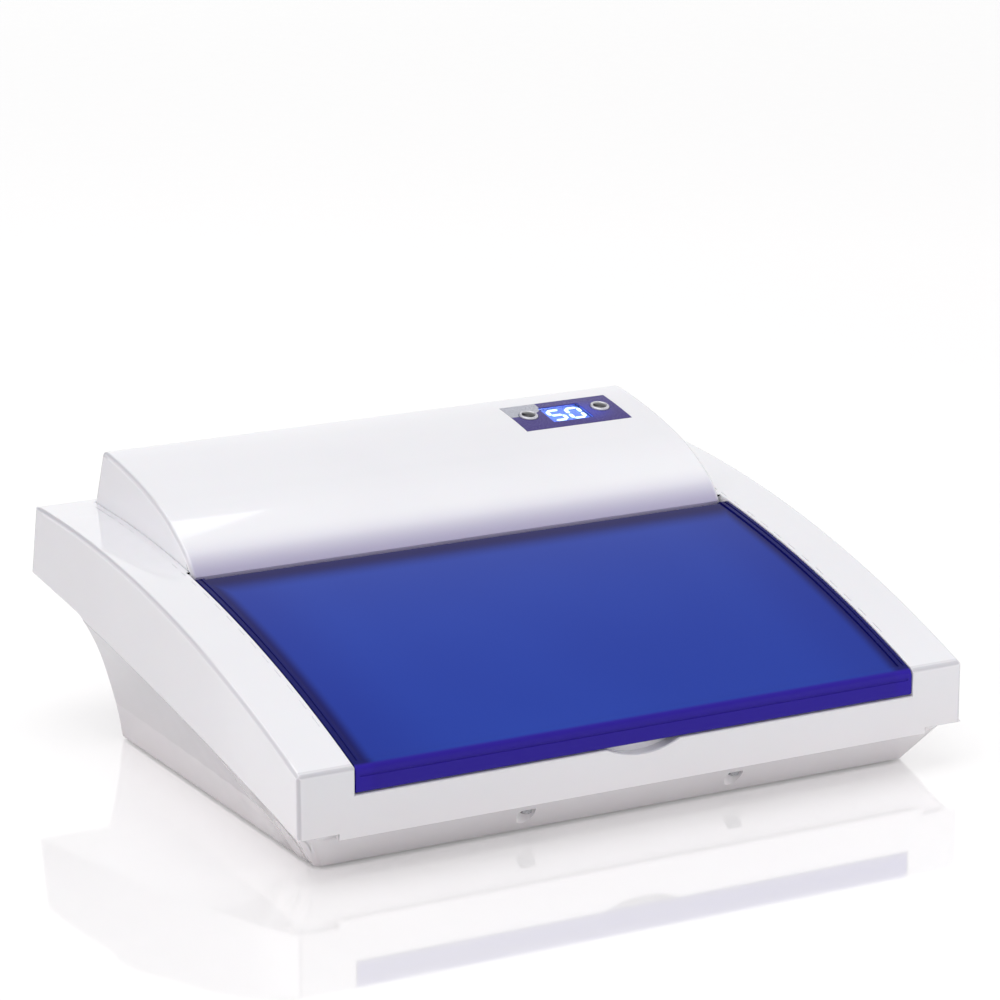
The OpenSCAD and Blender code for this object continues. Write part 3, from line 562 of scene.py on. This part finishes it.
SKINS = {"upper_case", "lower_case", "hood_cover", "lid"}
SMALL_BEVELS_MM = {
    "tool_tray": 0.15, "lamp_reflector": 0.1, "ballast": 0.8, "mains_inlet": 0.5,
    "lid_bumpers": 0.25, "rubber_feet": 0.4, "lamp_caps": 0.3, "lamp_socket_left": 0.5,
    "lamp_socket_right": 0.5, "case_screws": 0.3, "hood_screws": 0.3, "tub_screws": 0.25,
    "board_screws": 0.25, "board_parts": 0.3, "chamber_tub": 0.4, "button_left": 0.35,
    "button_right": 0.35, "lid_magnet": 0.3, "button_switches": 0.2,
}
slot_of = {s["node"]: s["material_slot"] for s in record["subparts"]}


def dress_inner_nodes():
    for name, obj in frame["nodes"].items():
        if name in SKINS or name == "panel_overlay":
            continue
        obj.data.materials.clear()
        obj.data.materials.append(MATERIALS[slot_of[name]])
        if name in SMALL_BEVELS_MM:
            weld = obj.modifiers.new("joined corners", "WELD")
            weld.merge_threshold = 0.002 * MM
            flat = obj.modifiers.new("whole faces", "DECIMATE")
            flat.decimate_type = "DISSOLVE"
            flat.angle_limit = math.radians(0.3)
            bevel(obj, SMALL_BEVELS_MM[name] * MM, 2)
            keep_flats(obj)


dress_inner_nodes()


def islands(node):
    """The separate solids of a node, each as its list of points."""
    bm = bmesh.new()
    bm.from_mesh(frame["nodes"][node].data)
    bmesh.ops.remove_doubles(bm, verts=bm.verts, dist=2e-6)
    left = dict.fromkeys(bm.verts)
    groups = []
    while left:
        todo = [left.popitem()[0]]
        group = []
        while todo:
            vert = todo.pop()
            group.append(vert.co.copy())
            for edge in vert.link_edges:
                other = edge.other_vert(vert)
                if other in left:
                    del left[other]
                    todo.append(other)
        groups.append(group)
    bm.free()
    return groups


def screw_crosses():
    """A small dark cross of painted shade on every screw, standing in for its cross recess. It
    lands on the tip or in the shaft and not on the head, so it doesn't show."""
    # Painted shade: dark where a screw's cross recess would lie in shade
    dark = surface("painted_recess_shade", linear(38, 38, 40), linear(30, 30, 32), 0.5, 0.8)
    for node in ("case_screws", "hood_screws", "tub_screws", "board_screws"):
        bm = bmesh.new()
        for points in islands(node):
            middle = sum(points, Vector()) / len(points)
            far = max(points, key=lambda p: (p - middle).length)
            near_far = [p for p in points if (p - far).length < 7 * MM]
            wide = max(near_far, key=lambda p: (p - far).length)
            head = sum(near_far, Vector()) / len(near_far)
            axis = (head - middle).normalized()
            ends = [p.dot(axis) for p in points]
            origin = middle + axis * (max(ends) - middle.dot(axis))
            size = (wide - far).length / 2
            turn = axis.to_track_quat("Z", "Y").to_matrix().to_4x4()
            for width, depth in ((1.1, 0.26), (0.26, 1.1)):
                bmesh.ops.create_cube(
                    bm, size=size, matrix=Matrix.Translation(origin) @ turn
                    @ Matrix.Diagonal((width, depth, 0.02, 1)))
        name = node + "_crosses"
        finish_piece(add_object(name, mesh_from(name, bm)), "housing", "screw_steel", dark)


screw_crosses()


def inlet_pins():
    """The mains inlet's two contact pins, in its cavity."""
    low, high = (Vector(c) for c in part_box("mains_inlet"))
    middle = (low + high) / 2
    lean = math.radians(7.7)
    radius, length, apart = 1.2 * MM, 13 * MM, 8.6 * MM
    bm = bmesh.new()
    for side in (-1, 1):
        turn = (Matrix.Translation(middle + Vector((side * apart / 2, 0, 0)))
                @ Matrix.Rotation(lean - math.pi / 2, 4, "X"))
        bmesh.ops.create_cone(bm, cap_ends=True, segments=20, radius1=radius, radius2=radius,
                              depth=length, matrix=turn)
        bmesh.ops.create_uvsphere(bm, u_segments=20, v_segments=10, radius=radius,
                                  matrix=turn @ Matrix.Translation((0, 0, length / 2)))
    for face in bm.faces:
        face.smooth = len(face.verts) < 5
    finish_piece(add_object("inlet_pins", mesh_from("inlet_pins", bm)), "housing", "steel")


inlet_pins()


# Panel: its own frame has x to the right, y to the rear and z out of the hood

def joint_axis(name):
    for joint in record["behaviour"]["joints"]:
        if joint["name"] == name:
            return Vector(joint["axis"])
    raise KeyError(name)


PANEL_UP = -joint_axis("button_left_press").normalized()
PANEL_ANGLE = math.atan2(-PANEL_UP.y, PANEL_UP.z)
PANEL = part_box("panel_overlay")
panel_turn = Matrix.Rotation(PANEL_ANGLE, 4, "X")


def top_of(node):
    """The middle of a node's top, seen along the panel's up direction."""
    points = [v.co for v in frame["nodes"][node].data.vertices]
    height = max(p.dot(PANEL_UP) for p in points)
    low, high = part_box(node)
    middle = (Vector(low) + Vector(high)) / 2
    return middle + PANEL_UP * (height - middle.dot(PANEL_UP))


panel_middle = top_of("panel_overlay")
panel_width = PANEL[1][0] - PANEL[0][0]
panel_depth = (PANEL[1][1] - PANEL[0][1]) / math.cos(PANEL_ANGLE)
overlay = frame["nodes"]["panel_overlay"]
overlay.data.materials.clear()
overlay.data.materials.append(
    label_print(panel_middle, PANEL_ANGLE, panel_width, panel_depth))


def on_panel(name, bm, origin, body, slot, material=None, smooth=True):
    """Turns a bmesh drawn in the panel's frame into a piece at origin."""
    bmesh.ops.transform(bm, matrix=Matrix.Translation(origin) @ panel_turn, verts=bm.verts)
    for face in bm.faces:
        face.smooth = smooth
    finish_piece(add_object(name, mesh_from(name, bm)), body, slot, material)


def lathe(bm, profile, steps=48):
    """Turns a profile of (radius, height) points about z. A radius of 0 closes the shape."""
    rings = []
    for radius, height in profile:
        if radius == 0:
            rings.append([bm.verts.new((0, 0, height))] * steps)
        else:
            rings.append([bm.verts.new((radius * math.cos(2 * math.pi * i / steps),
                                        radius * math.sin(2 * math.pi * i / steps), height))
                          for i in range(steps)])
    for low, high in zip(rings, rings[1:]):
        for i in range(steps):
            j = (i + 1) % steps
            corners = [low[i], low[j], high[j], high[i]]
            unique = list(dict.fromkeys(corners))
            if len(unique) > 2:
                bm.faces.new(unique)


SEGMENTS = {"0": "abcdef", "5": "acdfg"}


def digit(bm, text, left, bottom, width, height, stroke, lean):
    """One seven-segment digit as flat bars with pointed ends."""
    mid = bottom + height / 2
    top = bottom + height
    right = left + width
    bars = {
        "a": (left, top, right, top), "d": (left, bottom, right, bottom),
        "g": (left, mid, right, mid), "f": (left, mid, left, top),
        "e": (left, bottom, left, mid), "b": (right, mid, right, top),
        "c": (right, bottom, right, mid)}
    gap = stroke * 0.16
    for key in SEGMENTS[text]:
        x0, y0, x1, y1 = bars[key]
        run = Vector((x1 - x0, y1 - y0)).normalized()
        side = Vector((-run.y, run.x)) * stroke / 2
        a = Vector((x0, y0)) + run * gap
        b = Vector((x1, y1)) - run * gap
        outline = [a, a + run * stroke / 2 - side, b - run * stroke / 2 - side, b,
                   b - run * stroke / 2 + side, a + run * stroke / 2 + side]
        low = [bm.verts.new((p.x + lean * p.y, p.y, 0)) for p in outline]
        high = [bm.verts.new((p.x + lean * p.y, p.y, 0.12 * MM)) for p in outline]
        bm.faces.new(high)
        bm.faces.new(low[::-1])
        for i in range(6):
            j = (i + 1) % 6
            bm.faces.new((low[i], low[j], high[j], high[i]))


def display_digits():
    """The timer's "50" stands on the window's glass."""
    bm = bmesh.new()
    width, height, stroke = 7.8 * MM, 13.0 * MM, 2.3 * MM
    for text, left in (("5", -9.4 * MM), ("0", 2.6 * MM)):
        digit(bm, text, left, -height / 2, width, height, stroke, 0.06)
    glow = glowing("digit_glow", linear(200, 235, 255), linear(196, 236, 255), 1.5)
    on_panel("display_digits", bm, top_of("display_window"), "housing", "display_blue", glow,
             smooth=False)


display_digits()


def button_faces():
    """A raised silver ring and a black dome on each button."""
    dark = surface("button_dark", linear(24, 24, 30), linear(32, 32, 40), 0.1,
                   spread=0.03, Coat_Weight=0.6)
    outer, radius, rise = 5.4 * MM, 3.85 * MM, 0.9 * MM
    for side in ("left", "right"):
        node = "button_" + side
        origin = top_of(node)
        ring = bmesh.new()
        lathe(ring, [(outer, -0.3 * MM), (outer, 0.05 * MM), (outer - 0.3 * MM, 0.3 * MM),
                     (outer - 0.9 * MM, 0.38 * MM), (outer - 1.3 * MM, 0.25 * MM),
                     (outer - 1.45 * MM, -0.05 * MM), (outer - 1.45 * MM, -0.3 * MM)])
        on_panel(node + "_ring", ring, origin, node, "button_silver")
        dome = bmesh.new()
        arc = [(radius * math.cos(math.radians(a)), rise * math.sin(math.radians(a)))
               for a in range(0, 90, 10)]
        lathe(dome, [(radius, -0.1 * MM)] + arc + [(0, rise)])
        on_panel(node + "_dome", dome, origin, node, "button_silver", dark)


button_faces()


# Stage, light and camera

def area_light(name, place, target, size, power, colour, mirrored=True):
    data = bpy.data.lights.new(name, "AREA")
    data.shape = "RECTANGLE"
    data.size, data.size_y = size
    data.energy = power
    data.color = colour
    obj = bpy.data.objects.new(name, data)
    scene.collection.objects.link(obj)
    obj.location = place
    obj.rotation_euler = (Vector(target) - Vector(place)).to_track_quat("-Z", "Y").to_euler()
    obj.visible_camera = False
    obj.visible_glossy = mirrored


def build_floor():
    bm = bmesh.new()
    reach = 14.0
    corners = [(-reach, -reach), (reach, -reach), (reach, reach), (-reach, reach)]
    bm.faces.new([bm.verts.new((x, y, 0)) for x, y in corners])
    floor = add_object("floor", mesh_from("floor", bm))
    g = Graph("floor")
    speck = g.noise(60.0, 3.0)
    g.set(Base_Color=g.mix(speck, (0.86, 0.850, 0.848, 1), (0.87, 0.860, 0.858, 1)),
          Roughness=g.ramp(speck, 0.3, 0.7, 0.06, 0.09), IOR=1.7, Coat_Weight=1.0,
          Coat_Roughness=0.05)
    rays = g.node("ShaderNodeLightPath").outputs["Is Camera Ray"]
    g.set(Emission_Color=(1, 1, 1, 1),
          Emission_Strength=g.ramp(rays, 0.0, 1.0, 0.0, 0.20, smooth=False))
    floor.data.materials.append(g.material)


STUDIO = (
    (0.00, 1.35), (0.11, 1.35), (0.19, 0.70), (0.33, 0.64), (0.42, 0.98), (0.53, 1.00),
    (0.60, 0.42), (0.78, 0.28), (0.89, 0.62), (1.00, 0.80))


def build_world():
    """White to the camera. What lights the object runs from the low back over the top to the
    front, as STUDIO says: how far round from 0 to 1, and how bright."""
    world = bpy.data.worlds.new("studio")
    world.use_nodes = True
    scene.world = world
    tree = world.node_tree
    plain = tree.nodes["Background"]
    plain.inputs["Color"].default_value = (1, 1, 1, 1)
    plain.inputs["Strength"].default_value = 1.0
    light = tree.nodes.new("ShaderNodeBackground")
    direction = tree.nodes.new("ShaderNodeTexCoord").outputs["Generated"]
    parts = tree.nodes.new("ShaderNodeSeparateXYZ")
    tree.links.new(direction, parts.inputs[0])

    def math_node(operation, *values):
        n = tree.nodes.new("ShaderNodeMath")
        n.operation = operation
        for socket, value in zip(n.inputs, values):
            if isinstance(value, bpy.types.NodeSocket):
                tree.links.new(value, socket)
            else:
                socket.default_value = value
        return n.outputs[0]

    height = math_node("ABSOLUTE", parts.outputs["Z"])
    turn = math_node("DIVIDE", math_node("ARCTAN2", height, parts.outputs["Y"]), math.pi)
    ramp = tree.nodes.new("ShaderNodeValToRGB")
    ramp.color_ramp.interpolation = "B_SPLINE"
    stops = ramp.color_ramp.elements
    while len(stops) < len(STUDIO):
        stops.new(0.5)
    for stop, (place, value) in zip(stops, STUDIO):
        stop.position = place
        stop.color = (value, value, value * 1.01, 1)
    tree.links.new(turn, ramp.inputs[0])
    side = math_node("POWER", math_node("ABSOLUTE", parts.outputs["X"]), 4.0)
    tone = tree.nodes.new("ShaderNodeMix")
    tone.data_type = "RGBA"
    tree.links.new(side, tone.inputs["Factor"])
    tree.links.new(ramp.outputs["Color"], tone.inputs["A"])
    tone.inputs["B"].default_value = (0.90, 0.87, 0.88, 1)
    # A dark strip behind the object draws its side edges as thin grey lines
    strip = math_node("MULTIPLY", math_node("LESS_THAN", parts.outputs["X"], 0.30),
                      math_node("GREATER_THAN", parts.outputs["X"], -0.40))
    rearward = math_node("GREATER_THAN", parts.outputs["Y"], 0.3)
    flag = tree.nodes.new("ShaderNodeMix")
    flag.data_type = "RGBA"
    tree.links.new(math_node("MULTIPLY", strip, rearward), flag.inputs["Factor"])
    tree.links.new(tone.outputs["Result"], flag.inputs["A"])
    flag.inputs["B"].default_value = (0.16, 0.15, 0.16, 1)
    tree.links.new(flag.outputs["Result"], light.inputs["Color"])
    light.inputs["Strength"].default_value = 1.0
    rays = tree.nodes.new("ShaderNodeLightPath")
    pick = tree.nodes.new("ShaderNodeMixShader")
    tree.links.new(rays.outputs["Is Camera Ray"], pick.inputs["Fac"])
    tree.links.new(light.outputs[0], pick.inputs[1])
    tree.links.new(plain.outputs[0], pick.inputs[2])
    tree.links.new(pick.outputs[0], tree.nodes["World Output"].inputs["Surface"])


def build_lights():
    target = (0, 0, 0.08)
    area_light("top_softbox", (-0.3, 0.1, 2.0), target, (2.2, 1.8), 14.5, (1.0, 1.0, 1.0))
    area_light("left_softbox", (-2.2, -0.6, 0.8), target, (1.4, 1.2), 11, (1.0, 0.955, 0.962),
               False)
    area_light("right_softbox", (1.3, -2.0, 0.7), target, (1.4, 1.0), 0.6, (0.98, 0.98, 1.0),
               False)
    area_light("near_softbox", (0.75, -0.85, 0.25), (0.15, -0.1, 0.03), (0.5, 0.4), 2.5,
               (1.0, 1.0, 1.0), False)


CAMERA_PLACE = (-1.02310, -1.86902, 0.70574)
CAMERA_DOWN = 15.0662
CAMERA_TURN = -28.8807
CAMERA_LENS_MM = 148.704


def build_camera():
    data = bpy.data.cameras.new("camera")
    data.sensor_width = 36
    data.lens = CAMERA_LENS_MM
    data.clip_start = 0.05
    data.clip_end = 60
    camera = bpy.data.objects.new("camera", data)
    scene.collection.objects.link(camera)
    camera.location = CAMERA_PLACE
    camera.rotation_euler = (math.radians(90 - CAMERA_DOWN), 0, math.radians(CAMERA_TURN))
    scene.camera = camera


build_floor()
build_world()
build_lights()
build_camera()
scene.view_settings.view_transform = "Standard"


def plain(bounds):
    return [list(map(float, corner)) for corner in bounds]
